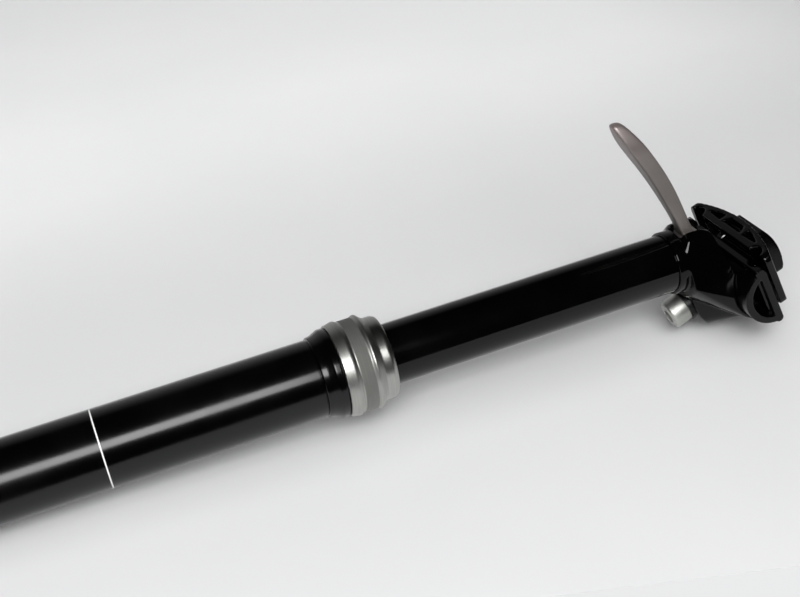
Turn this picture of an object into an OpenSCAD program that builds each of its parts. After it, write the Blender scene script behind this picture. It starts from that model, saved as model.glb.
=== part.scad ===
// Dropper seatpost with a lever under the saddle, an oil and gas spring inside and a one-bolt saddle clamp.
// Millimetres. Z runs up the post from the lower tube's bottom end, the lever points to -Y.

/* [Post] */
// Outside diameter of the lower tube, the seat tube size
tube_d = 31.6; // [30.9:0.1:34.9]
// Outside diameter of the sliding tube
stanchion_d = 25; // [22:0.5:26]
// How far the post drops
travel = 125; // [75:5:150]
// Wall of the sliding tube
stanchion_wall = 1.5; // [1.2:0.1:2.5]

/* [Collar] */
// Largest diameter of the collar
collar_d = 39.3; // [38:0.1:42]
// Length of the collar
collar_len = 21.2; // [20:0.1:26]

/* [Saddle clamp] */
// Diameter of the saddle rails
rail_d = 7; // [6:0.1:7.5]
// Distance between the two rails
rail_gap = 44; // [42:0.5:46]
// How far the clamp sits behind the post
setback = 12.6; // [8:0.1:16]
// Forward lean of the rails
rail_tilt = 18.5; // [10:0.5:25]
// Lean of the clamp bolt against the square of the rails
bolt_lean = 3; // [0:0.5:4]
// Radius of the drum under the cradle
drum_r = 14; // [12:0.1:16]
// Width of the lower cradle
cradle_w = 57; // [54:0.5:64]
// Nominal diameter of the clamp bolt
bolt_d = 8; // [6:1:8]

/* [Lever] */
// Width of the lever
lever_w = 9; // [7:0.5:11]
// Reach of the lever from its pin to its tip
lever_reach = 60.2; // [45:0.1:80]
// Diameter of the lever pin
pin_d = 4; // [3:0.5:5]

/* [Fits] */
// Radial play of sliding and turning fits
run_fit = 0.04; // [0.02:0.01:0.08]
// Free space beside moving faces
free_gap = 0.3; // [0.3:0.05:0.6]

/* [Hidden] */
$fn = 96;
tube_r = tube_d / 2;
post_r = stanchion_d / 2;
bore_r = post_r - stanchion_wall;

// Lower tube, from the bottom up
tube_bore_r = tube_r - 1.7;
seat_bore_r = tube_bore_r + 0.5;
plug_low = 1;
plug_top = 12;
shoulder_z = travel + 62;
flare_top = shoulder_z + 5.3;
rim_top = shoulder_z + 8;
collar_z = rim_top + 0.4;
collar_r = collar_d / 2;
collar_top = collar_z + collar_len;
rim_r = collar_r - 1.4;
neck_r = tube_r + 0.7;
neck_top = collar_z + 12.6;
bush_low = shoulder_z + 2;
bush_top = neck_top - 2.6;
collar_shelf = neck_top + 0.4;
wiper_r = post_r + 2.4;

// Sliding tube
post_low = travel + 25;
head_z = collar_top + travel + 1.9;
key_r = 1.25;
key_at = post_r + 0.7;
key_low = post_low + 12;
key_len = 14;
ring_low = post_low + 2;
ring_len = 6;

// Spring inside
rod_r = 5;
stud_r = 4;
seal_head_top = post_low + 14;
inner_low = post_low + 8;
inner_r = bore_r - 4;
inner_or = inner_r + 1;
bumper_top = seal_head_top + 3;
piston_low = bumper_top + 0.6;
piston_len = 10;
piston_top = piston_low + piston_len;
spigot_r = 3;
rod_top = piston_top + 4.5;
valve_low = rod_top + travel + 2;
inner_top = valve_low + 6;
valve_top = inner_top + 10;
stem_r = 1.2;
port_r = 1.2;
port_at = (inner_or + bore_r) / 2;
float_len = 8;
float_top = inner_top - 9;
float_low = float_top - float_len;
pin_r = 2;
spring_top = valve_top + 8;

// Lever
lever_pin_y = -10;
lever_pin_z = head_z + 11.5;
lever_half = lever_w / 2;
hub_r = pin_d / 2 + 2.2;
nose_r = 2;
push_top = lever_pin_z - nose_r - 0.1;
slot_half = lever_half + free_gap;
fork_half = slot_half + 3.6;
fork_r = hub_r + 1;
brow_r = post_r + 2.9;
chin_back = 5.7;
pad_r = lever_half + 2;
stem_half = lever_half - 1.6;
lever_k = lever_reach / 62.4;

// Saddle clamp, in its own frame: Y along the rails to the rear, Z square to them
drum_z = head_z + 35.5;
cradle_half = cradle_w / 2;
rail_r = rail_d / 2 + 0.05;
rail_x = rail_gap / 2;
rim_half = drum_r + 0.5;
lip_r = 1.9;
brim = 1.3;
side_lean = 25;
cup_half = 21;
seat_half = 15.5;
cup_r = drum_r + 4;
seat_r = drum_r + run_fit;
bolt_r = bolt_d / 2;
cup_cut = 7.6;
ear_at = 27.8;
ear_r = 8.8;
washer_t = 1.7;
washer_r = bolt_r * 1.8;
bolt_head_r = bolt_d * 0.8125;
bolt_head_h = bolt_d;
bolt_top = 13.5;
head_face = ear_at + washer_t;
nut_r = bolt_r + 1.1;
nut_at = 7.4;
nut_half = 10;
hump_half = 13.7;
tilt_back = 11;
tilt_forth = 5;
clamp_front = -20;
clamp_rear = 7;
arch_top = 9.5;
arch_r = 72;
upper_half = cradle_half + 0.9;
jaw = 0.3;

// A round wire wound to a coil of a given length
module coil(mid, wire, length, turns) {
    steps = 20 * turns;
    points = [for (i = [0 : steps]) for (j = [0 : 7]) [
        (mid + wire * cos(45 * j)) * cos(18 * i),
        (mid + wire * cos(45 * j)) * sin(18 * i),
        wire + (length - 2 * wire) * i / steps + wire * sin(45 * j)]];
    sides = [for (i = [0 : steps - 1]) for (j = [0 : 7])
        [i * 8 + j, i * 8 + (j + 1) % 8, i * 8 + 8 + (j + 1) % 8, i * 8 + 8 + j]];
    ends = [[for (j = [7 : -1 : 0]) j], [for (j = [0 : 7]) steps * 8 + j]];
    polyhedron(points, concat(sides, ends), convexity = 10);
}

// A plain ring between two radii
module tube(low, top, outer, inner) {
    difference() {
        translate([0, 0, low]) cylinder(r = outer, h = top - low);
        translate([0, 0, low - 1]) cylinder(r = inner, h = top - low + 2);
    }
}

// A round rubber ring lying at a height
module o_ring(height, mid, cord) {
    translate([0, 0, height]) rotate_extrude() translate([mid, 0]) circle(r = cord, $fn = 32);
}

// A cylinder across the post, along X
module across(radius, half) {
    rotate([0, 90, 0]) cylinder(r = radius, h = 2 * half, center = true);
}

// Places its children in the frame of the saddle clamp
module clamp_frame() {
    translate([0, setback, drum_z]) rotate([rail_tilt, 0, 0]) children();
}

// The same frame, with Z along the clamp bolt
module bolt_frame() {
    clamp_frame() rotate([bolt_lean, 0, 0]) children();
}

// A side profile in Y and Z, as thick as asked across X
module side_plate(points, half) {
    rotate([90, 0, 90]) linear_extrude(height = 2 * half, center = true) polygon(points);
}

module lower_tube() {
    color([0.03, 0.03, 0.035])
    difference() {
        rotate_extrude() polygon([
            [tube_bore_r, 0], [tube_r, 0],
            [tube_r, shoulder_z - 0.5], [tube_r - 0.3, shoulder_z - 0.35],
            [tube_r - 0.3, shoulder_z - 0.1], [tube_r + 0.35, shoulder_z + 0.1],
            [tube_r + 0.7, shoulder_z + 0.4], [tube_r + 0.9, shoulder_z + 1.8],
            [tube_r + 1.5, shoulder_z + 3.4], [rim_r - 0.15, flare_top - 0.2], [rim_r, flare_top],
            [rim_r, rim_top - 0.3], [rim_r - 0.3, rim_top],
            [neck_r, rim_top], [neck_r, neck_top - 0.6], [neck_r - 0.6, neck_top],
            [tube_bore_r, neck_top]]);
        translate([0, 0, -1]) cylinder(r = seat_bore_r, h = plug_top + 1);
        translate([0, 0, bush_low]) cylinder(r = seat_bore_r, h = neck_top);
        tube(collar_z + 7.4, collar_z + 8.8, neck_r + 1, neck_r - 1.2);
        for (turn = [0, 120, 240])
            rotate([0, 0, turn]) translate([key_at, 0, -1]) cylinder(r = key_r + run_fit, h = bush_low + 2, $fn = 32);
    }
}

module base_plug() {
    color([0.12, 0.12, 0.13])
    difference() {
        translate([0, 0, plug_low]) cylinder(r = seat_bore_r, h = plug_top - plug_low);
        translate([0, 0, -1]) cylinder(r = stud_r, h = plug_top + 2);
        translate([0, 0, -1]) cylinder(r = 8.6, h = 7);
        tube(8.8, 10.2, seat_bore_r + 1, seat_bore_r - 1.2);
        for (turn = [0 : 90 : 270])
            rotate([0, 0, turn]) translate([11.4, 0, 0]) cylinder(r = 1.5, h = 5, $fn = 32);
    }
}

module base_o_ring() {
    color([0.02, 0.02, 0.02]) o_ring(9.5, seat_bore_r - 0.6, 0.6);
}

module rod_washer() {
    color([0.62, 0.63, 0.65]) tube(5, 6, 8, stud_r);
}

module rod_nut() {
    color([0.7, 0.7, 0.72])
    difference() {
        translate([0, 0, 1.4]) cylinder(r = 7.5, h = 3.6, $fn = 6);
        translate([0, 0, 1]) cylinder(r = stud_r, h = 5);
    }
}

module damper_rod() {
    color([0.78, 0.79, 0.8])
    rotate_extrude() polygon([
        [0, 1.2], [stud_r - 0.4, 1.2], [stud_r, 1.6], [stud_r, plug_top], [rod_r, plug_top],
        [rod_r, piston_low], [spigot_r, piston_low], [spigot_r, rod_top - 0.3],
        [spigot_r - 0.3, rod_top], [0, rod_top]]);
}

module main_piston() {
    color([0.5, 0.42, 0.25])
    difference() {
        tube(piston_low, piston_top, inner_r - run_fit, spigot_r);
        tube(piston_low + 4, piston_low + 6.4, inner_r + 1, inner_r - 1.2);
    }
}

module piston_seal() {
    color([0.05, 0.05, 0.05]) tube(piston_low + 4, piston_low + 6.4, inner_r - run_fit / 2, inner_r - 1.2);
}

module piston_nut() {
    color([0.7, 0.7, 0.72])
    difference() {
        translate([0, 0, piston_top]) cylinder(r = 5.77, h = 4, $fn = 6);
        translate([0, 0, piston_top - 1]) cylinder(r = spigot_r, h = 6);
    }
}

module bottom_bumper() {
    color([0.05, 0.05, 0.05]) tube(plug_top, plug_top + 8, post_r - 1, rod_r);
}

module upper_bushing() {
    color([0.85, 0.83, 0.74])
    difference() {
        tube(bush_low, bush_top, seat_bore_r, post_r + run_fit);
        translate([post_r, 0, bush_low + 5]) cube([6, 0.8, 20], center = true);
    }
}

module collar() {
    color([0.6, 0.6, 0.6])
    rotate_extrude() polygon([
        [neck_r, collar_z], [collar_r - 1, collar_z], [collar_r - 0.8, collar_z + 0.2],
        [collar_r - 0.7, collar_z + 1], [collar_r - 0.4, collar_z + 2.2],
        [collar_r, collar_z + 3.3], [collar_r, collar_z + 4.2],
        [collar_r - 0.35, collar_z + 5], [collar_r - 0.9, collar_z + 5.5],
        [collar_r - 0.9, collar_z + 5.9], [collar_r - 0.7, collar_z + 6.2],
        [collar_r - 0.7, collar_z + 11.3], [collar_r - 0.4, collar_z + 12],
        [collar_r, collar_z + 12.5], [collar_r, collar_z + 13.2],
        [collar_r - 2.45, collar_z + 15.8], [collar_r - 2.45, collar_top - 1.8],
        [collar_r - 3, collar_top - 0.6], [collar_r - 4, collar_top], [wiper_r, collar_top],
        [wiper_r, collar_shelf + 1.8], [post_r + 0.5, collar_shelf + 1.8],
        [post_r + 0.5, collar_shelf], [neck_r, collar_shelf]]);
}

module collar_o_ring() {
    color([0.02, 0.02, 0.02]) o_ring(collar_z + 8.1, neck_r - 0.6, 0.6);
}

module wiper_seal() {
    color([0.05, 0.05, 0.05])
    rotate_extrude() polygon([
        [post_r + 0.5, collar_shelf + 1.8], [wiper_r, collar_shelf + 1.8], [wiper_r, collar_top - 0.2],
        [wiper_r - 0.9, collar_top + 0.4], [post_r + 0.6, collar_top + 0.5],
        [post_r + run_fit, collar_top - 0.3], [post_r + run_fit, collar_top - 1],
        [post_r + 0.5, collar_top - 1.8]]);
}

module stanchion() {
    color([0.03, 0.03, 0.035])
    difference() {
        tube(post_low, head_z, post_r, bore_r);
        tube(ring_low, ring_low + ring_len, post_r + 1, post_r - 0.5);
        for (turn = [0, 120, 240])
            rotate([0, 0, turn]) translate([key_at, 0, key_low]) cylinder(r = key_r, h = key_len, $fn = 32);
    }
}

module guide_keys() {
    color([0.72, 0.58, 0.3])
    for (turn = [0, 120, 240])
        rotate([0, 0, turn]) translate([key_at, 0, key_low]) cylinder(r = key_r, h = key_len, $fn = 32);
}

module lower_bushing() {
    color([0.85, 0.83, 0.74])
    difference() {
        tube(ring_low, ring_low + ring_len, tube_bore_r - run_fit, post_r - 0.5);
        rotate([0, 0, 60]) translate([post_r, 0, ring_low]) cube([6, 0.8, 20], center = true);
    }
}

module seal_head() {
    color([0.35, 0.36, 0.38])
    difference() {
        rotate_extrude() polygon([
            [rod_r + run_fit, post_low - 2], [post_r, post_low - 2], [post_r, post_low],
            [bore_r, post_low], [bore_r, seal_head_top], [inner_or, seal_head_top],
            [inner_or, inner_low], [inner_r, inner_low], [inner_r, seal_head_top],
            [rod_r + run_fit, seal_head_top]]);
        tube(post_low + 5, post_low + 6.4, bore_r + 1, bore_r - 1.2);
        tube(post_low + 2, post_low + 5, rod_r + 1.6, rod_r - 1);
    }
}

module seal_head_o_ring() {
    color([0.02, 0.02, 0.02]) o_ring(post_low + 5.7, bore_r - 0.6, 0.6);
}

module rod_seal() {
    color([0.05, 0.05, 0.05]) tube(post_low + 2, post_low + 5, rod_r + 1.6, rod_r + run_fit / 2);
}

module top_out_bumper() {
    color([0.05, 0.05, 0.05]) tube(seal_head_top, bumper_top, inner_r - 0.2, rod_r + 0.4);
}

module inner_tube() {
    color([0.7, 0.71, 0.72]) tube(inner_low, inner_top, inner_or, inner_r);
}

module floating_piston() {
    color([0.5, 0.42, 0.25])
    difference() {
        tube(float_low, float_top, bore_r - run_fit, inner_or + run_fit);
        tube(float_low + 1.6, float_low + 3.2, bore_r + 1, bore_r - 0.9);
        tube(float_low + 4.8, float_low + 6.4, inner_or + 0.9, inner_or - 1);
    }
}

module floating_piston_seals() {
    color([0.05, 0.05, 0.05]) {
        tube(float_low + 1.6, float_low + 3.2, bore_r - run_fit / 2, bore_r - 0.9);
        tube(float_low + 4.8, float_low + 6.4, inner_or + 0.9, inner_or + run_fit / 2);
    }
}

module valve_body() {
    color([0.35, 0.36, 0.38])
    difference() {
        union() {
            translate([0, 0, valve_low]) cylinder(r = inner_r, h = 7);
            translate([0, 0, inner_top]) cylinder(r = bore_r, h = valve_top - inner_top);
        }
        translate([0, 0, valve_low - 1]) cylinder(r = 4, h = 7);
        translate([0, 0, valve_low]) cylinder(r = 2.2, h = 11);
        translate([0, 0, valve_low]) cylinder(r = stem_r + run_fit, h = 30);
        tube(inner_top + 6, inner_top + 7.4, bore_r + 1, bore_r - 1.2);
        for (turn = [0 : 90 : 270])
            rotate([0, 0, turn]) {
                translate([0, 0, inner_top + 3]) rotate([0, 90, 0]) cylinder(r = port_r, h = port_at, $fn = 32);
                translate([port_at, 0, inner_top - 1]) cylinder(r = port_r, h = 4, $fn = 32);
            }
    }
}

module valve_o_ring() {
    color([0.02, 0.02, 0.02]) o_ring(inner_top + 6.7, bore_r - 0.6, 0.6);
}

module valve_poppet() {
    color([0.75, 0.76, 0.78])
    rotate_extrude() polygon([
        [0, valve_low + 3.4], [3.1, valve_low + 3.4], [3.1, valve_low + 4.8], [2, inner_top - 0.1],
        [stem_r, inner_top - 0.1], [stem_r, spring_top], [0, spring_top]]);
}

module valve_spring() {
    color([0.6, 0.6, 0.62])
    translate([0, 0, valve_top])
    coil(3.3, 0.5, spring_top - valve_top, 4);
}

module push_pin() {
    color([0.75, 0.76, 0.78])
    rotate_extrude() polygon([
        [0, spring_top], [4.4, spring_top], [4.4, spring_top + 1.6], [pin_r, spring_top + 1.6],
        [pin_r, push_top - 0.3], [pin_r - 0.3, push_top], [0, push_top]]);
}

// Half the width of the head at a given Y, along a side that just touches the neck
function side_x(y) = (post_r + 0.9 + y * sin(side_lean)) / cos(side_lean);
side_y = (cup_half * cos(side_lean) - post_r - 0.9) / sin(side_lean);
pin_out = side_x(lever_pin_y) - 0.6;

// The head from above: round in front, with sides that run out to the rear
module head_plan() {
    intersection() {
        polygon([
            [-side_x(-20), -20], [side_x(-20), -20], [side_x(side_y), side_y], [cup_half, 60],
            [-cup_half, 60], [-side_x(side_y), side_y]]);
        union() {
            circle(r = brow_r);
            translate([-60, -8]) square([120, 100]);
        }
    }
}

// Spigot and neck of the head, widening into the fork and the cup of the drum
module neck_blank() {
    translate([0, 0, head_z]) cylinder(r1 = post_r + 0.7, r2 = post_r + 1, h = 0.6);
    translate([0, 0, head_z + 0.6]) cylinder(r = post_r + 1, h = 5);
    translate([0, 0, valve_top]) cylinder(r = bore_r, h = head_z - valve_top + 1);
    intersection() {
        hull() {
            // chin above the neck
            translate([0, 0, head_z + 4.6]) linear_extrude(height = 3) intersection() {
                head_plan();
                translate([0, -chin_back]) circle(r = chin_back + brow_r, $fn = 64);
                // in front it is flush with the neck
                union() {
                    circle(r = post_r + 1);
                    translate([-60, -4]) square([120, 100]);
                }
            }
            // cheeks of the lever's fork
            translate([0, lever_pin_y, lever_pin_z]) across(fork_r, fork_half, $fn = 48);
            // cup of the drum, thinner at its ends
            clamp_frame() {
                across(cup_r, cup_half - 9, $fn = 48);
                across(cup_r - 2.6, cup_half, $fn = 48);
            }
        }
        linear_extrude(height = 2 * drum_z) head_plan();
    }
}

// The forged head before anything is cut into it
module head_blank() {
    difference() {
        neck_blank();
        // room for the washer and the bolt's head at the foremost lean
        bolt_frame() rotate([-tilt_forth, 0, 0]) translate([0, 0, -ear_at - 30])
            cylinder(r = washer_r + free_gap, h = 33.8);
    }
    // ear for the bolt, growing out of the cup
    intersection() {
        bolt_frame() hull() {
            for (step = [-1, 3])
                translate([0, step, -ear_at - 1]) cylinder(r = ear_r, h = 3, $fn = 32);
            across(cup_r - 0.4, seat_half - 3.4, $fn = 44);
        }
        clamp_frame() across(ear_at, 40);
    }
}

module head() {
    color([0.03, 0.03, 0.035])
    difference() {
        head_blank();
        // seat and everything above it
        clamp_frame() {
            across(seat_r, 60);
            translate([-60, -cup_r, -cup_cut]) cube([120, 60, 60]);
            translate([-60, -60, -cup_cut - 0.9]) cube([120, 60, 60]);
        }
        // fan-shaped slot that lets the bolt lean with the clamp
        bolt_frame() side_plate([
            [-bolt_r - 0.5, 0], [bolt_r + 0.5, 0],
            [bolt_r + 0.5 + 40 * tan(tilt_back), -40], [-bolt_r - 0.5 - 40 * tan(tilt_forth), -40]],
            bolt_r + 0.5);
        // slot for the lever, the pin across it and the bore of the push pin
        translate([-slot_half, -40, head_z + 5.1]) cube([2 * slot_half, 40 + 4, 40]);
        lever_pin(20);
        translate([0, 0, valve_top - 1]) cylinder(r = 5, h = head_z - valve_top - 1);
        translate([0, 0, valve_top]) cylinder(r = pin_r + run_fit, h = 40);
    }
}

// Lever pin, pressed in from the far side, and longer for the hole that it goes in through
module lever_pin(extra = 0) {
    color([0.7, 0.7, 0.72])
    translate([-pin_out - extra, lever_pin_y, lever_pin_z])
    rotate([0, 90, 0]) cylinder(r = pin_d / 2, h = pin_out + extra + fork_half - 2);
}

// Points on an arc, angles in degrees
function arc(at, radius, from, to, steps) =
    [for (i = [0 : steps]) at + radius * [cos(from + (to - from) * i / steps), sin(from + (to - from) * i / steps)]];

module lever() {
    blade = concat(
        [[0, 3], [-4, 0.6]],
        arc([35.2, -151], 155.7, 106.2, 127.6, 10),
        arc([-60.2, -30], 2.2, 100, 285, 8),
        [[-56.5, -30.2], [-48, -24.8], [-26.2, -14.4], [-6.3, -5.6], [-2, -3.6]]);
    color([0.42, 0.4, 0.39])
    translate([0, lever_pin_y, lever_pin_z])
    difference() {
        union() {
            intersection() {
                side_plate([for (p = blade) p * lever_k], lever_half);
                // outline from above, widest at the thumb's end
                translate([0, 0, -60]) linear_extrude(height = 120) {
                    polygon([[-lever_half, 10], [-lever_half, -5], [-stem_half, -11],
                        [stem_half, -11], [lever_half, -5], [lever_half, 10]]);
                    hull() {
                        translate([0, -11]) circle(r = stem_half);
                        translate([0, pad_r - lever_reach]) circle(r = pad_r);
                    }
                }
            }
            across(hub_r, lever_half);
            translate([-lever_half, 0, -nose_r]) cube([lever_w, -lever_pin_y, 2 * nose_r]);
            translate([0, -lever_pin_y, 0]) across(nose_r, lever_half);
        }
        across(pin_d / 2 + run_fit, 20);
    }
}

module lower_cradle() {
    color([0.03, 0.03, 0.035])
    clamp_frame()
    difference() {
        union() {
            intersection() {
                across(drum_r, cradle_half);
                translate([-60, -40, -43]) cube([120, 80, 40]);
            }
            // rim, flat in front and round behind
            hull() {
                side_plate([
                    [0, -jaw], [2.2 - rim_half, -jaw], [-rim_half - 0.7, -jaw - brim],
                    [-rim_half - 0.7, -jaw - 4.1], [0.1 - rim_half, -jaw - 4.9],
                    [0, -jaw - 2 * lip_r]], cradle_half);
                translate([0, rim_half - lip_r, -jaw - lip_r]) across(lip_r, cradle_half, $fn = 48);
            }
        }
        for (side = [-1, 1]) {
            translate([side * rail_x, 0, 0]) rotate([90, 0, 0]) cylinder(r = rail_r, h = 60, center = true);
            // hollow in the end, higher at its mouth
            intersection() {
                translate([side * (cradle_half + 5), 0, 0]) across(drum_r - 3.2, 17);
                translate([-60, -40, -44.8]) cube([120, 80, 40]);
            }
            intersection() {
                translate([side * (cradle_half + 5), 0, 0]) across(drum_r - 3.2, 7.6);
                translate([-60, -40, -43.6]) cube([120, 80, 40]);
            }
        }
        // trough between the rails
        translate([-15.5, -11, -8]) cube([31, 22, 20]);
        rotate([bolt_lean, 0, 0]) cylinder(r = bolt_r + 0.3, h = 60, center = true);
    }
}

module upper_clamp() {
    color([0.03, 0.03, 0.035])
    clamp_frame()
    difference() {
        union() {
            difference() {
                // arched bridge
                intersection() {
                    hull() for (side = [-1, 1], end = [clamp_front + 3.2, clamp_rear - 3.2])
                        translate([side * (upper_half - 3.2), end, jaw]) cylinder(r = 3.2, h = 20, $fn = 32);
                    translate([0, 0, arch_top - arch_r]) rotate([90, 0, 0]) cylinder(r = arch_r, h = 100, center = true, $fn = 192);
                }
                // hollow under the bridge
                intersection() {
                    translate([-16.5, clamp_front + 3.5, -5]) cube([33, 60, 20]);
                    translate([0, 0, arch_top - arch_r - 2.5]) rotate([90, 0, 0]) cylinder(r = arch_r, h = 100, center = true, $fn = 192);
                }
            }
            // hump with the nut inside
            intersection() {
                hull() for (side = [-1, 1]) {
                    translate([side * (hump_half - 5), clamp_front + 6.5, 4]) cylinder(r = 2, h = 20, $fn = 48);
                    translate([side * (hump_half - 2), 2.8, 4]) cylinder(r = 2, h = 20, $fn = 48);
                }
                translate([0, -5.3, -6.8]) across(22, hump_half);
            }
            translate([-hump_half, -7, jaw + 0.5]) cube([2 * hump_half, 11.8, 7.2]);
        }
        for (side = [-1, 1])
            translate([side * rail_x, 0, 0]) rotate([90, 0, 0]) cylinder(r = rail_r, h = 60, center = true);
        // three windows in the front
        translate([0, clamp_front, 0]) rotate([90, 0, 0]) linear_extrude(height = 7.2, center = true) {
            polygon([[-6.7, 3.6], [-4.4, 7.2], [4.4, 7.2], [6.7, 3.6]]);
            for (side = [-1, 1])
                polygon([[side * 8.7, 3.4], [side * 8.7, 6.8], [side * 11.6, 6.5], [side * 18.6, 4]]);
        }
        rotate([bolt_lean, 0, 0]) {
            // the nut goes in from the far side
            translate([nut_half + free_gap - 40, 0, nut_at]) across(nut_r, 40);
            cylinder(r = bolt_r + 0.3, h = 60, center = true);
        }
    }
}

module barrel_nut() {
    color([0.62, 0.63, 0.65])
    bolt_frame()
    difference() {
        translate([0, 0, nut_at]) across(nut_r, nut_half);
        cylinder(r = bolt_r + run_fit, h = 60, center = true);
    }
}

module clamp_bolt() {
    color([0.75, 0.75, 0.76])
    bolt_frame()
    difference() {
        union() {
            translate([0, 0, -head_face]) cylinder(r = bolt_r, h = head_face + bolt_top);
            translate([0, 0, -head_face - bolt_head_h]) cylinder(r1 = bolt_head_r - 0.5, r2 = bolt_head_r, h = 0.5);
            translate([0, 0, -head_face - bolt_head_h + 0.5]) cylinder(r = bolt_head_r, h = bolt_head_h - 0.5);
        }
        translate([0, 0, -head_face - bolt_head_h - 1]) cylinder(r = bolt_d * 0.433, h = bolt_head_h / 2 + 1, $fn = 6);
    }
}

module bolt_washer() {
    color([0.62, 0.63, 0.65])
    bolt_frame()
    difference() {
        translate([0, 0, -head_face]) cylinder(r = washer_r, h = washer_t + 3);
        across(ear_at + run_fit, 40);
        cylinder(r = bolt_r + 0.3, h = 100, center = true);
    }
}

lower_tube();
base_plug();
base_o_ring();
rod_nut();
rod_washer();
damper_rod();
main_piston();
piston_seal();
piston_nut();
bottom_bumper();
upper_bushing();
collar();
collar_o_ring();
wiper_seal();
stanchion();
guide_keys();
lower_bushing();
seal_head();
seal_head_o_ring();
rod_seal();
top_out_bumper();
inner_tube();
floating_piston();
floating_piston_seals();
valve_body();
valve_o_ring();
valve_poppet();
valve_spring();
push_pin();
head();
lever_pin();
lever();
lower_cradle();
upper_clamp();
barrel_nut();
clamp_bolt();
bolt_washer();
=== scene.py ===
import math

import bpy
from mathutils import Matrix, Vector


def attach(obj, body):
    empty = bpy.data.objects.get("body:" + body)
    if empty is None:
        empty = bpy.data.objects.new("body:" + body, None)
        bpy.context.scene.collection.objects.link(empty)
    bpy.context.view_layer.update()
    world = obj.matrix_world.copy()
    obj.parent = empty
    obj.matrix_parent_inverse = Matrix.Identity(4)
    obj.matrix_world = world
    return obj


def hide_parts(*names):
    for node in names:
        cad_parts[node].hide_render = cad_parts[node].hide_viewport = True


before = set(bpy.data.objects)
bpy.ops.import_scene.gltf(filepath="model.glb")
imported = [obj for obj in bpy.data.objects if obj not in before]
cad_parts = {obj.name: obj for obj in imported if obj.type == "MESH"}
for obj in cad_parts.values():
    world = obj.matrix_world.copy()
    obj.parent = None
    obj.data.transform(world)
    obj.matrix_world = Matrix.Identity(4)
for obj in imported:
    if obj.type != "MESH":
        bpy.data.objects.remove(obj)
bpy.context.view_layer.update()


# Camera: a hand-held look along the post from beside its lower end, a little above the table.
# The place and the three directions were fitted to the tube's edges and rings in the photograph.
lens_mm, sensor_mm = 59.594, 36.0
nearest_seen, farthest_seen = 0.01, 50.0
stand_point = Vector((0.4357, -0.2851, 0.1071))
to_right = Vector((0.34294, 0.14754, 0.9277))
to_top = Vector((-0.43139, -0.85255, 0.2951))
to_back = Vector((0.83445, -0.50138, -0.2287))


def set_up(thing, right, top, back, point):
    """Puts a camera or lamp, which looks along its own -Z, at a point, turned to three directions."""
    thing.matrix_world = Matrix((
        (right.x, top.x, back.x, point[0]),
        (right.y, top.y, back.y, point[1]),
        (right.z, top.z, back.z, point[2]),
        (0.0, 0.0, 0.0, 1.0)))


camera_data = bpy.data.cameras.new("camera")
camera_data.lens = lens_mm
camera_data.sensor_width = sensor_mm
camera_data.clip_start = nearest_seen
camera_data.clip_end = farthest_seen
camera = bpy.data.objects.new("camera", camera_data)
bpy.context.scene.collection.objects.link(camera)
set_up(camera, to_right, to_top, to_back, stand_point)
bpy.context.scene.camera = camera


# Table: the post lies on pale laminate, on the rear of its lower end and on the clamp bolt.
# The sheet ends just beside the post and is one-sided, so that a look from the side
# or from below still sees the post.
MM = 0.001


def start_material(name):
    material = bpy.data.materials.new(name)
    material.use_nodes = True
    tree = material.node_tree
    tree.nodes.clear()
    surface = tree.nodes.new("ShaderNodeOutputMaterial")
    shader = tree.nodes.new("ShaderNodeBsdfPrincipled")
    tree.links.new(shader.outputs["BSDF"], surface.inputs["Surface"])
    return material, tree, shader, surface


def add_noise(tree, scale, detail):
    place = tree.nodes.new("ShaderNodeTexCoord")
    noise = tree.nodes.new("ShaderNodeTexNoise")
    noise.inputs["Scale"].default_value = scale
    noise.inputs["Detail"].default_value = detail
    tree.links.new(place.outputs["Object"], noise.inputs["Vector"])
    return noise.outputs["Fac"]


def add_range(tree, source, low, high, from_low=0.0, from_high=1.0):
    spread = tree.nodes.new("ShaderNodeMapRange")
    spread.inputs["From Min"].default_value = from_low
    spread.inputs["From Max"].default_value = from_high
    spread.inputs["To Min"].default_value = low
    spread.inputs["To Max"].default_value = high
    tree.links.new(source, spread.inputs["Value"])
    return spread.outputs["Result"]


def add_ramp(tree, source, first, last, start=0.0, stop=1.0):
    ramp = tree.nodes.new("ShaderNodeValToRGB")
    ramp.color_ramp.elements[0].position = start
    ramp.color_ramp.elements[0].color = (*first, 1.0)
    ramp.color_ramp.elements[1].position = stop
    ramp.color_ramp.elements[1].color = (*last, 1.0)
    tree.links.new(source, ramp.inputs["Fac"])
    return ramp.outputs["Color"]


def deselect():
    bpy.ops.object.select_all(action="DESELECT")


table_span, table_squares = 9.0, 12
table_slope = math.radians(2.8)
table_gap = 21.3 * MM
table_edge, edge_turn = 56.0 * MM, math.radians(16.5)
deselect()
bpy.ops.mesh.primitive_grid_add(
    x_subdivisions=table_squares, y_subdivisions=table_squares, size=table_span)
table = bpy.context.object
table.name = "table"
table.data.transform(Matrix.Rotation(math.radians(90.0), 4, "X"))
bpy.ops.object.mode_set(mode="EDIT")
bpy.ops.mesh.select_all(action="SELECT")
bpy.ops.mesh.bisect(
    plane_co=(table_edge, 0.0, 0.0),
    plane_no=(math.cos(edge_turn), 0.0, -math.sin(edge_turn)),
    clear_outer=True)
bpy.ops.object.mode_set(mode="OBJECT")
table.data.transform(Matrix.Rotation(table_slope, 4, "X").inverted())
table.data.transform(Matrix.Translation((0.0, table_gap, 0.0)))

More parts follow.
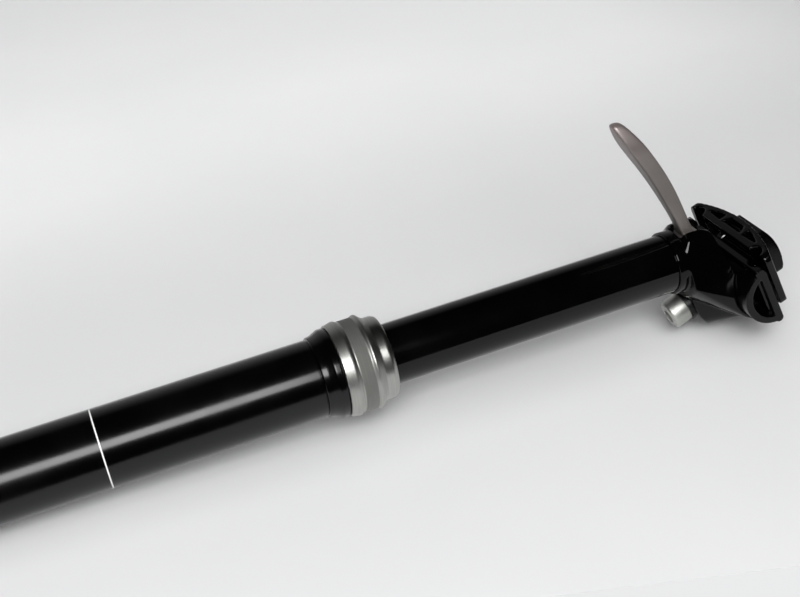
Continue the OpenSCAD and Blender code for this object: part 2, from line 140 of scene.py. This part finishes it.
laminate, tree, shader, surface = start_material("table_laminate")
laminate_grey, laminate_pale = (0.74, 0.745, 0.75), (0.8, 0.8, 0.805)
grain = add_noise(tree, 9.0, 4.0)
tree.links.new(add_ramp(tree, grain, laminate_grey, laminate_pale), shader.inputs["Base Color"])
shader.inputs["Roughness"].default_value = 0.6
see_through = tree.nodes.new("ShaderNodeBsdfTransparent")
which_side = tree.nodes.new("ShaderNodeNewGeometry")
one_sided = tree.nodes.new("ShaderNodeMixShader")
tree.links.new(which_side.outputs["Backfacing"], one_sided.inputs["Fac"])
tree.links.new(shader.outputs["BSDF"], one_sided.inputs[1])
tree.links.new(see_through.outputs["BSDF"], one_sided.inputs[2])
tree.links.new(one_sided.outputs["Shader"], surface.inputs["Surface"])
table.data.materials.append(laminate)


# Light: a strip softbox beside the camera, which the lower tube mirrors as a line that ends past
# the collar. Three soft fills that no gloss mirrors stand behind the camera, overhead and over
# the far part of the table. The room is dark and pales towards its far wall.
def hang_light(name, place, target, width, length, watts, in_gloss):
    light = bpy.data.lights.new(name, "AREA")
    light.shape = "RECTANGLE"
    light.size = width
    light.size_y = length
    light.energy = watts
    lamp = bpy.data.objects.new(name, light)
    bpy.context.scene.collection.objects.link(lamp)
    away = (Vector(place) - Vector(target)).normalized()
    side = Vector((0.0, 0.0, 1.0)).cross(away).normalized()
    set_up(lamp, side, away.cross(side), away, place)
    lamp.visible_glossy = in_gloss
    lamp.visible_camera = False
    return lamp


hang_light("strip_softbox", (1.006, -0.82, -0.06), (0.0, 0.0, 0.0), 0.46, 0.9, 15.5, True)
hang_light("broad_fill", (2.7, -2.95, 0.1), (-0.1, 0.02, 0.12), 2.6, 3.0, 66.0, False)
hang_light("overhead_fill", (0.35, -2.0, 0.15), (0.05, 0.0, 0.15), 2.4, 2.4, 15.0, False)
far_panel = hang_light("far_panel", (-0.62, -0.43, 0.1), (-0.62, 0.02, 0.1), 0.75, 1.1, 1.05, False)
far_panel.data.spread = math.radians(50.0)

backdrop = (0.83, 0.835, 0.84, 1.0)
room_dark, room_pale, wall_from = (0.003, 0.003, 0.003), (0.5, 0.5, 0.5), 0.78
room = bpy.data.worlds.new("room")
bpy.context.scene.world = room
room.use_nodes = True
tree = room.node_tree
tree.nodes.clear()
room_out = tree.nodes.new("ShaderNodeOutputWorld")
seen_room = tree.nodes.new("ShaderNodeBackground")
seen_room.inputs["Color"].default_value = backdrop
dim_room = tree.nodes.new("ShaderNodeBackground")
look = tree.nodes.new("ShaderNodeTexCoord")
heading = tree.nodes.new("ShaderNodeSeparateXYZ")
tree.links.new(look.outputs["Generated"], heading.inputs["Vector"])
to_wall = add_range(tree, heading.outputs["X"], 1.0, 0.0, -1.0, 1.0)
tree.links.new(add_ramp(tree, to_wall, room_dark, room_pale, wall_from), dim_room.inputs["Color"])
which_ray = tree.nodes.new("ShaderNodeLightPath")
room_mix = tree.nodes.new("ShaderNodeMixShader")
tree.links.new(which_ray.outputs["Is Camera Ray"], room_mix.inputs["Fac"])
tree.links.new(dim_room.outputs["Background"], room_mix.inputs[1])
tree.links.new(seen_room.outputs["Background"], room_mix.inputs[2])
tree.links.new(room_mix.outputs["Shader"], room_out.inputs["Surface"])
bpy.context.scene.view_settings.view_transform = "Standard"


# Lower tube: drawn aluminium, black anodised and polished, its upper end swaged out to a shoulder.
# A white ring marks the least insertion, 100 mm from the bottom end. It is printed, so it has no height.
def turning_marks():
    group = bpy.data.node_groups.new("turning_marks", "ShaderNodeTree")
    group.interface.new_socket("Fineness", in_out="INPUT", socket_type="NodeSocketFloat")
    group.interface.new_socket("Mark", in_out="OUTPUT", socket_type="NodeSocketFloat")
    given = group.nodes.new("NodeGroupInput")
    put_out = group.nodes.new("NodeGroupOutput")
    place = group.nodes.new("ShaderNodeTexCoord")
    stretch = group.nodes.new("ShaderNodeMapping")
    stretch.inputs["Scale"].default_value = (0.02, 0.02, 1.0)
    lines = group.nodes.new("ShaderNodeTexNoise")
    lines.inputs["Detail"].default_value = 4.0
    lines.inputs["Roughness"].default_value = 0.7
    group.links.new(place.outputs["Object"], stretch.inputs["Vector"])
    group.links.new(stretch.outputs["Vector"], lines.inputs["Vector"])
    group.links.new(given.outputs["Fineness"], lines.inputs["Scale"])
    group.links.new(lines.outputs["Fac"], put_out.inputs["Mark"])
    return group


def handling_haze():
    group = bpy.data.node_groups.new("handling_haze", "ShaderNodeTree")
    group.interface.new_socket("Haze", in_out="OUTPUT", socket_type="NodeSocketFloat")
    group.interface.new_socket("Dust", in_out="OUTPUT", socket_type="NodeSocketFloat")
    put_out = group.nodes.new("NodeGroupOutput")
    smudge = add_noise(group, 38.0, 5.0)
    group.links.new(add_range(group, smudge, 0.0, 1.0, 0.42, 0.72), put_out.inputs["Haze"])
    place = group.nodes.new("ShaderNodeTexCoord")
    specks = group.nodes.new("ShaderNodeTexVoronoi")
    specks.inputs["Scale"].default_value = 420.0
    group.links.new(place.outputs["Object"], specks.inputs["Vector"])
    speck = add_range(group, specks.outputs["Distance"], 1.0, 0.0, 0.03, 0.085)
    group.links.new(speck, put_out.inputs["Dust"])
    return group


turning = turning_marks()
haze = handling_haze()


def use_group(tree, group, **values):
    node = tree.nodes.new("ShaderNodeGroup")
    node.node_tree = group
    for name, value in values.items():
        node.inputs[name].default_value = value
    return node


def add_bump(tree, shader, height, strength, distance):
    bump = tree.nodes.new("ShaderNodeBump")
    bump.inputs["Strength"].default_value = strength
    bump.inputs["Distance"].default_value = distance
    tree.links.new(height, bump.inputs["Height"])
    tree.links.new(bump.outputs["Normal"], shader.inputs["Normal"])


def add_math(tree, operation, *terms):
    """A Math node whose terms are sockets or plain numbers."""
    node = tree.nodes.new("ShaderNodeMath")
    node.operation = operation
    for entry, term in zip(node.inputs, terms):
        if isinstance(term, bpy.types.NodeSocket):
            tree.links.new(term, entry)
        else:
            entry.default_value = term
    return node.outputs["Value"]


def add_mix(tree, share, first, second):
    """Goes from the first colour to the second, which is a socket or a plain colour."""
    mix = tree.nodes.new("ShaderNodeMix")
    mix.data_type = "RGBA"
    tree.links.new(share, mix.inputs["Factor"])
    tree.links.new(first, mix.inputs["A"])
    if isinstance(second, bpy.types.NodeSocket):
        tree.links.new(second, mix.inputs["B"])
    else:
        mix.inputs["B"].default_value = (*second, 1.0)
    return mix.outputs["Result"]


def add_place(tree, axis):
    place = tree.nodes.new("ShaderNodeTexCoord")
    parts = tree.nodes.new("ShaderNodeSeparateXYZ")
    tree.links.new(place.outputs["Object"], parts.inputs["Vector"])
    return parts.outputs[axis]


def black_anodising(name, gloss_low, gloss_high, marks=900.0, mark_depth=0.06, sheen=0.36):
    deep_black, hazy_black, dust = (0.0006, 0.0006, 0.0007), (0.0015, 0.0015, 0.0015), (0.35, 0.34, 0.33)
    material, tree, shader, _ = start_material(name)
    shader.inputs["Specular IOR Level"].default_value = sheen
    touched = use_group(tree, haze)
    lines = use_group(tree, turning, Fineness=marks)
    black = add_ramp(tree, touched.outputs["Haze"], deep_black, hazy_black)
    dusty = add_mix(tree, add_range(tree, touched.outputs["Dust"], 0.0, 0.02), black, dust)
    tree.links.new(dusty, shader.inputs["Base Color"])
    gloss = add_range(tree, touched.outputs["Haze"], gloss_low, gloss_high)
    tree.links.new(gloss, shader.inputs["Roughness"])
    add_bump(tree, shader, lines.outputs["Mark"], mark_depth, 0.02 * MM)
    return material, tree, shader, dusty


tube_black, tree, shader, dusty = black_anodising("tube_black_anodising", 0.17, 0.25)
ring_at, ring_half, ring_white = 100.0, 0.28, (0.8, 0.8, 0.78)
height = add_place(tree, "Z")
above = add_math(tree, "GREATER_THAN", height, (ring_at - ring_half) * MM)
below = add_math(tree, "LESS_THAN", height, (ring_at + ring_half) * MM)
printed = add_mix(tree, add_math(tree, "MULTIPLY", above, below), dusty, ring_white)
tree.links.new(printed, shader.inputs["Base Color"])


def dress(node, material):
    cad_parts[node].data.materials.clear()
    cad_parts[node].data.materials.append(material)


def turn_piece(name, profile, segments=160):
    """A closed round piece, extruded ring by ring from a circle. The profile holds radius and height in mm."""
    deselect()
    radius, level = profile[0]
    bpy.ops.mesh.primitive_circle_add(vertices=segments, radius=radius * MM, location=(0.0, 0.0, 0.0))
    piece = bpy.context.object
    piece.name = name
    bpy.ops.object.mode_set(mode="EDIT")
    bpy.ops.mesh.select_all(action="SELECT")
    bpy.ops.transform.translate(value=(0.0, 0.0, level * MM))
    for next_radius, next_level in profile[1:]:
        bpy.ops.mesh.extrude_region_move(
            TRANSFORM_OT_translate={"value": (0.0, 0.0, (next_level - level) * MM)})
        grow = next_radius / radius
        bpy.ops.transform.resize(value=(grow, grow, 1.0), center_override=(0.0, 0.0, next_level * MM))
        radius, level = next_radius, next_level
    bpy.ops.mesh.select_all(action="SELECT")
    bpy.ops.mesh.remove_doubles(threshold=0.004 * MM)
    bpy.ops.mesh.fill_holes(sides=0)
    bpy.ops.mesh.normals_make_consistent(inside=False)
    bpy.ops.object.mode_set(mode="OBJECT")
    bpy.ops.object.shade_smooth_by_angle(angle=math.radians(32.0))
    return piece


lower_tube = turn_piece("lower_tube_skin", [
    # bottom edge and barrel
    (15.3, 0.0), (15.65, 0.12), (15.8, 0.5), (15.8, 60.0), (15.8, 120.0), (15.8, 184.0), (15.8, 186.3),
    # groove under the shoulder
    (15.8, 186.42), (15.74, 186.52), (15.52, 186.64), (15.5, 186.75), (15.52, 186.86), (15.8, 187.0),
    (16.2, 187.13), (16.42, 187.3), (16.52, 187.55),
    # swaged shoulder
    (16.57, 188.0), (16.68, 188.7), (16.9, 189.5), (17.25, 190.3), (17.65, 191.2), (18.02, 192.0),
    (18.17, 192.28), (18.24, 192.5), (18.25, 192.7), (18.25, 193.2), (18.25, 194.3), (18.25, 194.68),
    (18.17, 194.9), (17.95, 195.0),
    # neck inside the collar
    (16.5, 195.0), (16.5, 207.4), (15.9, 208.0),
    # bore, from the bushing's seat down to the plug's
    (14.6, 208.0), (14.6, 189.0), (14.1, 189.0), (14.1, 12.0), (14.6, 12.0), (14.6, 0.4), (14.8, 0.0),
    (15.3, 0.0)])
lower_tube.data.materials.append(tube_black)
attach(lower_tube, "lower_post")
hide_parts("lower_tube")


# Bottom end: a turned plug with four holes for a pin spanner closes the tube.
# The damper rod's stud comes through it and is held by a zinc plated nut and washer on an o-ring seal.
plug_black = black_anodising("plug_black_anodising", 0.26, 0.38, marks=1600.0, mark_depth=0.2)[0]
dress("base_plug", plug_black)


def plated_steel(name, dark, light, gloss_low, gloss_high):
    material, tree, shader, _ = start_material(name)
    cloud_from, cloud_to = 0.3, 0.7
    clouds = add_noise(tree, 130.0, 5.0)
    lines = use_group(tree, turning, Fineness=2400.0)
    metal = add_ramp(tree, clouds, dark, light, cloud_from, cloud_to)
    tree.links.new(metal, shader.inputs["Base Color"])
    shader.inputs["Metallic"].default_value = 1.0
    gloss = add_range(tree, clouds, gloss_low, gloss_high, cloud_from, cloud_to)
    tree.links.new(gloss, shader.inputs["Roughness"])
    add_bump(tree, shader, lines.outputs["Mark"], 0.12, 0.02 * MM)
    return material


zinc = plated_steel("zinc_plating", (0.62, 0.63, 0.64), (0.8, 0.8, 0.79), 0.26, 0.4)
for node in ("rod_nut", "rod_washer", "piston_nut", "lever_pin", "barrel_nut", "push_pin", "valve_poppet"):
    dress(node, zinc)


def seal_rubber():
    material, tree, shader, _ = start_material("nitrile_rubber")
    rubber_black, rubber_bloom = (0.008, 0.008, 0.008), (0.02, 0.02, 0.021)
    grain = add_noise(tree, 900.0, 3.0)
    bloom = add_noise(tree, 60.0, 4.0)
    tree.links.new(add_ramp(tree, bloom, rubber_black, rubber_bloom), shader.inputs["Base Color"])
    tree.links.new(add_range(tree, bloom, 0.48, 0.68), shader.inputs["Roughness"])
    add_bump(tree, shader, grain, 0.15, 0.05 * MM)
    return material


rubber = seal_rubber()
for node in ("base_o_ring", "piston_seal", "bottom_bumper", "collar_o_ring", "wiper_seal", "seal_head_o_ring",
             "rod_seal", "top_out_bumper", "floating_piston_seals", "valve_o_ring"):
    dress(node, rubber)


# Damper and gas spring inside: a ground and chromed rod carries the main piston, and turned alloy
# pieces close the oil column: seal head, inner tube, ring piston and valve body.
chrome = plated_steel("hard_chrome", (0.72, 0.72, 0.73), (0.84, 0.84, 0.85), 0.05, 0.12)
dress("damper_rod", chrome)
turned_alloy = plated_steel("turned_alloy", (0.5, 0.5, 0.5), (0.66, 0.66, 0.66), 0.24, 0.36)
for node in ("main_piston", "seal_head", "inner_tube", "floating_piston", "valve_body"):
    dress(node, turned_alloy)
spring_wire = plated_steel("spring_wire", (0.3, 0.31, 0.32), (0.46, 0.46, 0.47), 0.25, 0.4)
dress("valve_spring", spring_wire)


# Guides: split bushings of filled acetal, one in the lower tube's upper end and one on the
# stanchion's lower end, and three drawn brass keys beside it that stop the post turning.
def filled_acetal():
    material, tree, shader, _ = start_material("filled_acetal")
    acetal_dark, acetal_light = (0.5, 0.47, 0.37), (0.66, 0.63, 0.52)
    flecks = add_noise(tree, 700.0, 4.0)
    tree.links.new(add_ramp(tree, flecks, acetal_dark, acetal_light), shader.inputs["Base Color"])
    tree.links.new(add_range(tree, flecks, 0.42, 0.58), shader.inputs["Roughness"])
    return material


acetal = filled_acetal()
dress("upper_bushing", acetal)
dress("lower_bushing", acetal)
key_brass = plated_steel("drawn_brass", (0.5, 0.34, 0.13), (0.66, 0.48, 0.2), 0.2, 0.34)
dress("guide_keys", key_brass)


# Collar: a turned aluminium nut, satin silver anodised, that screws over the neck and holds the wiper.
# Two proud bands flank a bare recessed belt, then the nut steps in to a narrow upper band.
# The belt is blasted, so it is darker and mirrors less than the turned bands.
silver, tree, shader, _ = start_material("collar_silver_anodising")
band_grey, band_light = (0.36, 0.362, 0.345), (0.46, 0.462, 0.44)
belt_grey, belt_light = (0.27, 0.272, 0.258), (0.33, 0.332, 0.316)
lower_gloss, upper_gloss, belt_rougher, haze_rougher = 0.4, 0.28, 0.4, 0.06
lines = use_group(tree, turning, Fineness=2600.0)
touched = use_group(tree, haze)
height = add_place(tree, "Z")
over_belt_foot = add_range(tree, height, 0.0, 1.0, 201.3 * MM, 201.6 * MM)
under_belt_top = add_range(tree, height, 1.0, 0.0, 206.6 * MM, 206.9 * MM)
on_belt = add_math(tree, "MULTIPLY", over_belt_foot, under_belt_top)
turned = add_range(tree, height, lower_gloss, upper_gloss, 210.9 * MM, 211.3 * MM)
blasted = add_math(tree, "MULTIPLY_ADD", on_belt, belt_rougher, turned)
worn = add_math(tree, "MULTIPLY_ADD", touched.outputs["Haze"], haze_rougher, blasted)
tree.links.new(worn, shader.inputs["Roughness"])
band = add_ramp(tree, lines.outputs["Mark"], band_grey, band_light, 0.3, 0.7)
belt = add_ramp(tree, lines.outputs["Mark"], belt_grey, belt_light, 0.3, 0.7)
tree.links.new(add_mix(tree, on_belt, band, belt), shader.inputs["Base Color"])
shader.inputs["Metallic"].default_value = 1.0
add_bump(tree, shader, lines.outputs["Mark"], 0.22, 0.03 * MM)
collar = turn_piece("collar_skin", [
    # lower proud band
    (18.55, 195.4), (18.72, 195.43), (18.82, 195.52), (18.88, 195.7), (18.93, 196.2), (19.05, 196.9),
    (19.22, 197.6), (19.4, 198.2), (19.54, 198.7), (19.6, 199.1), (19.58, 199.6), (19.46, 200.0),
    (19.25, 200.4), (18.95, 200.75),
    # recessed belt
    (18.8, 200.95), (18.76, 201.15), (18.8, 201.35), (18.9, 201.5), (18.95, 201.65), (18.95, 202.1),
    (18.95, 206.1), (18.95, 206.6), (19.05, 206.9),
    # upper proud band and the slope above it
    (19.3, 207.45), (19.5, 207.75), (19.6, 208.05), (19.6, 208.4), (19.45, 208.72), (19.1, 209.1),
    (18.4, 209.85), (17.7, 210.6), (17.35, 210.98), (17.22, 211.25),
    # narrow upper band and its rounded rim
    (17.2, 211.6), (17.2, 212.1), (17.2, 214.1), (17.2, 214.6), (17.12, 215.0), (16.95, 215.4),
    (16.7, 215.85), (16.4, 216.2), (16.0, 216.5), (15.6, 216.6),
    # wiper's seat, lip and thread bore
    (14.9, 216.6), (14.9, 210.2), (13.0, 210.2), (13.0, 208.4), (16.5, 208.4), (16.5, 195.4),
    (18.55, 195.4)], segments=192)
collar.data.materials.append(silver)
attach(collar, "lower_post")
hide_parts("collar")


# Stanchion: the sliding tube, ground, polished and black anodised, the glossiest piece of the post.
# Its lower end, with bushing and keys, stays inside the lower tube.
stanchion_black = black_anodising(
    "stanchion_black_anodising", 0.07, 0.13, marks=1500.0, mark_depth=0.03, sheen=0.28)[0]
dress("stanchion", stanchion_black)


# Head: one aluminium forging, black anodised, pressed and bonded into the stanchion.
# A fork for the lever stands in front of the round seat, and an ear behind takes the bolt.
# Its turned neck, a crisp ring around the stanchion's end, is modelled by itself and joined.
def copy_node(node, name):
    """A copy of a CAD solid, alone selected, with its loose triangles merged."""
    deselect()
    piece = bpy.data.objects.new(name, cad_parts[node].data.copy())
    bpy.context.scene.collection.objects.link(piece)
    piece.data.materials.clear()
    bpy.context.view_layer.objects.active = piece
    piece.select_set(True)
    bpy.ops.object.mode_set(mode="EDIT")
    bpy.ops.mesh.select_all(action="SELECT")
    bpy.ops.mesh.remove_doubles(threshold=0.003 * MM)
    bpy.ops.object.mode_set(mode="OBJECT")
    bpy.ops.mesh.customdata_custom_splitnormals_clear()
    return piece


def soften(node, name, voxel, passes, crisp_below=0.0):
    """A copy of a CAD solid with its edges rounded as a forging's are, but for what lies below a height in mm."""
    piece = copy_node(node, name)
    remesh = piece.modifiers.new("even_out", "REMESH")
    remesh.mode = "VOXEL"
    remesh.voxel_size = voxel * MM
    bpy.ops.object.modifier_apply(modifier=remesh.name)
    rounded = piece.vertex_groups.new(name="rounded")
    rounded.add([v.index for v in piece.data.vertices if v.co.z > crisp_below * MM], 1.0, "REPLACE")
    smooth = piece.modifiers.new("round_off", "SMOOTH")
    smooth.factor = 0.5
    smooth.iterations = passes
    smooth.vertex_group = rounded.name
    bpy.ops.object.modifier_apply(modifier=smooth.name)
    bpy.ops.object.shade_smooth()
    return piece


forged_black = black_anodising(
    "forging_black_anodising", 0.1, 0.2, marks=500.0, mark_depth=0.02, sheen=0.25)[0]
head = soften("head", "head_forging", voxel=0.3, passes=22, crisp_below=347.2)
neck = turn_piece("head_neck", [
    (12.55, 343.5), (13.1, 343.5), (13.3, 343.56), (13.44, 343.7), (13.52, 343.95), (13.52, 346.9),
    (12.55, 346.9), (12.55, 343.5)])
head.select_set(True)
bpy.context.view_layer.objects.active = head
bpy.ops.object.join()
head.data.materials.append(forged_black)
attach(head, "upper_post")
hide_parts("head")


# Lever: an aluminium blade, bead blasted and anodised a smoky grey that fades pinkish to the tip.
# It turns on a pin across the fork, and its nose inside the head presses the valve's pin down
# when the tip is lifted.
smoke, tree, shader, _ = start_material("lever_smoke_anodising")
smoke_dark, smoke_light, smoke_faded = (0.2, 0.182, 0.17), (0.26, 0.236, 0.224), (0.36, 0.31, 0.3)
fade_from, fade_to = -46.0 * MM, -70.0 * MM
blast = add_noise(tree, 1800.0, 2.0)
drift = add_noise(tree, 34.0, 3.0)
to_tip = add_range(tree, add_place(tree, "Y"), 0.0, 1.0, fade_from, fade_to)
smoky = add_ramp(tree, drift, smoke_dark, smoke_light, 0.3, 0.7)
tree.links.new(add_mix(tree, to_tip, smoky, smoke_faded), shader.inputs["Base Color"])
shader.inputs["Metallic"].default_value = 0.75
tree.links.new(add_range(tree, blast, 0.4, 0.54), shader.inputs["Roughness"])
add_bump(tree, shader, blast, 0.12, 0.04 * MM)

pin_y, pin_z = -10.0, 355.0
first_slice, edge_round, hub_reach = 0.5, 1.3, 3.4
stations = [
    # Y and Z from the pin, half width, half height
    (1.0, 0.3, 4.2, 3.2), (-4.9, -2.2, 3.6, 2.9), (-9.8, -3.9, 3.1, 3.1), (-17.7, -7.1, 3.5, 3.55),
    (-26.5, -11.0, 4.4, 3.8), (-35.3, -15.5, 5.5, 3.95), (-44.1, -20.7, 6.5, 4.05), (-49.5, -23.8, 6.7, 3.9),
    (-53.6, -26.2, 5.2, 3.5), (-57.0, -28.3, 3.7, 3.0), (-59.8, -30.2, 2.0, 2.2)]
deselect()
back_y, back_z, half_w, half_h = stations[0]
bpy.ops.mesh.primitive_cube_add(size=1.0, location=(0.0, 0.0, 0.0))
lever = bpy.context.object
lever.name = "lever_blade"
lever.data.transform(Matrix.Diagonal((2 * half_w * MM, first_slice * MM, 2 * half_h * MM, 1.0)))
lever.data.transform(Matrix.Translation((0.0, (pin_y + back_y) * MM, (pin_z + back_z) * MM)))
bpy.ops.object.mode_set(mode="EDIT")
bpy.ops.mesh.select_mode(type="FACE")
bpy.ops.mesh.select_all(action="DESELECT")
bpy.ops.object.mode_set(mode="OBJECT")
for face in lever.data.polygons:
    face.select = face.normal.y < -0.9
bpy.ops.object.mode_set(mode="EDIT")
for next_y, next_z, next_w, next_h in stations[1:]:
    bpy.ops.mesh.extrude_region_move(TRANSFORM_OT_translate={
        "value": (0.0, (next_y - back_y) * MM, (next_z - back_z) * MM)})
    bpy.ops.transform.resize(
        value=(next_w / half_w, 1.0, next_h / half_h),
        center_override=(0.0, (pin_y + next_y) * MM, (pin_z + next_z) * MM))
    back_y, back_z, half_w, half_h = next_y, next_z, next_w, next_h
bpy.ops.mesh.select_mode(type="EDGE")
bpy.ops.mesh.select_all(action="DESELECT")
bpy.ops.object.mode_set(mode="OBJECT")
corners = lever.data.vertices
for edge in lever.data.edges:
    run = corners[edge.vertices[0]].co - corners[edge.vertices[1]].co
    edge.select = abs(run.y) > 0.6 * run.length
bpy.ops.object.mode_set(mode="EDIT")
bpy.ops.mesh.bevel(offset=edge_round * MM, segments=2, affect="EDGES")
bpy.ops.object.mode_set(mode="OBJECT")
rounding = lever.modifiers.new("rounding", "SUBSURF")
rounding.levels = rounding.render_levels = 3
bpy.ops.object.modifier_apply(modifier=rounding.name)
bpy.ops.object.shade_smooth()

hub = copy_node("lever", "lever_hub")
bpy.ops.object.mode_set(mode="EDIT")
bpy.ops.mesh.select_all(action="SELECT")
bpy.ops.mesh.bisect(
    plane_co=(0.0, (pin_y - hub_reach) * MM, pin_z * MM), plane_no=(0.0, -1.0, 0.0),
    use_fill=True, clear_outer=True)
bpy.ops.object.mode_set(mode="OBJECT")
bpy.ops.object.shade_smooth_by_angle(angle=math.radians(30.0))
lever.select_set(True)
bpy.context.view_layer.objects.active = lever
bpy.ops.object.join()
lever.data.materials.append(smoke)
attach(lever, "lever")
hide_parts("lever")


# Saddle cradle: a forged half drum that rolls in the head's seat, with a groove for each rail
# and a hollow in each end. The bolt's washer rides on the ear below. Its steel is coloured near black
# as painted shade, so that it stays as dark as the shaded spot beside the bolt head.
cradle = soften("lower_cradle", "cradle_forging", voxel=0.26, passes=8)
cradle.data.materials.append(forged_black)
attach(cradle, "saddle_cradle")
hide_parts("lower_cradle")
# painted shade: the washer's steel is near black so that it matches the shaded spot by the bolt head
washer_shade_black = plated_steel("washer_painted_shade_steel", (0.02, 0.02, 0.021), (0.05, 0.05, 0.05), 0.34, 0.5)
dress("bolt_washer", washer_shade_black)


# Clamp bolt: one zinc plated M8 socket head screw that pulls both halves of the clamp together.
# It is cold headed, so its edges are round, and a hexagon of 6 mm across flats is punched into the head.
bolt_zinc = plated_steel("bolt_satin_zinc", (0.42, 0.43, 0.4), (0.54, 0.55, 0.52), 0.4, 0.52)
drum_y, drum_z, bolt_lean = 12.6, 379.0, math.radians(21.5)
head_under, head_end, bolt_tip = -29.5, -37.5, 13.5
socket_corner, socket_depth = 3.464, 4.0
clamp_bolt = turn_piece("clamp_bolt_screw", [
    (1.0, head_end), (5.0, head_end), (5.7, head_end + 0.08), (6.2, head_end + 0.4),
    (6.42, head_end + 0.8), (6.5, head_end + 1.3), (6.5, head_under - 0.6), (6.4, head_under - 0.2),
    (6.1, head_under), (4.3, head_under), (4.0, head_under + 0.3), (4.0, bolt_tip - 0.7), (3.4, bolt_tip),
    (1.0, bolt_tip)], segments=96)
deselect()
bpy.ops.mesh.primitive_cylinder_add(
    vertices=6, radius=socket_corner * MM, depth=2 * socket_depth * MM, location=(0.0, 0.0, 0.0))
socket = bpy.context.object
socket.data.transform(Matrix.Translation((0.0, 0.0, head_end * MM)))
punch = clamp_bolt.modifiers.new("socket", "BOOLEAN")
punch.object = socket
punch.operation = "DIFFERENCE"
deselect()
bpy.context.view_layer.objects.active = clamp_bolt
clamp_bolt.select_set(True)
bpy.ops.object.modifier_apply(modifier=punch.name)
bpy.data.objects.remove(socket)
clamp_bolt.data.transform(
    Matrix.Translation((0.0, drum_y * MM, drum_z * MM)) @ Matrix.Rotation(bolt_lean, 4, "X"))
clamp_bolt.data.materials.append(bolt_zinc)
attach(clamp_bolt, "clamp_bolt")
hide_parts("clamp_bolt")


# Upper clamp: a forged bridge over both rails, with three windows in front and a hump
# that hides the cross-drilled nut of the bolt.
upper_clamp = soften("upper_clamp", "upper_clamp_forging", voxel=0.28, passes=18)
upper_clamp.data.materials.append(forged_black)
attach(upper_clamp, "upper_clamp")
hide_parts("upper_clamp")
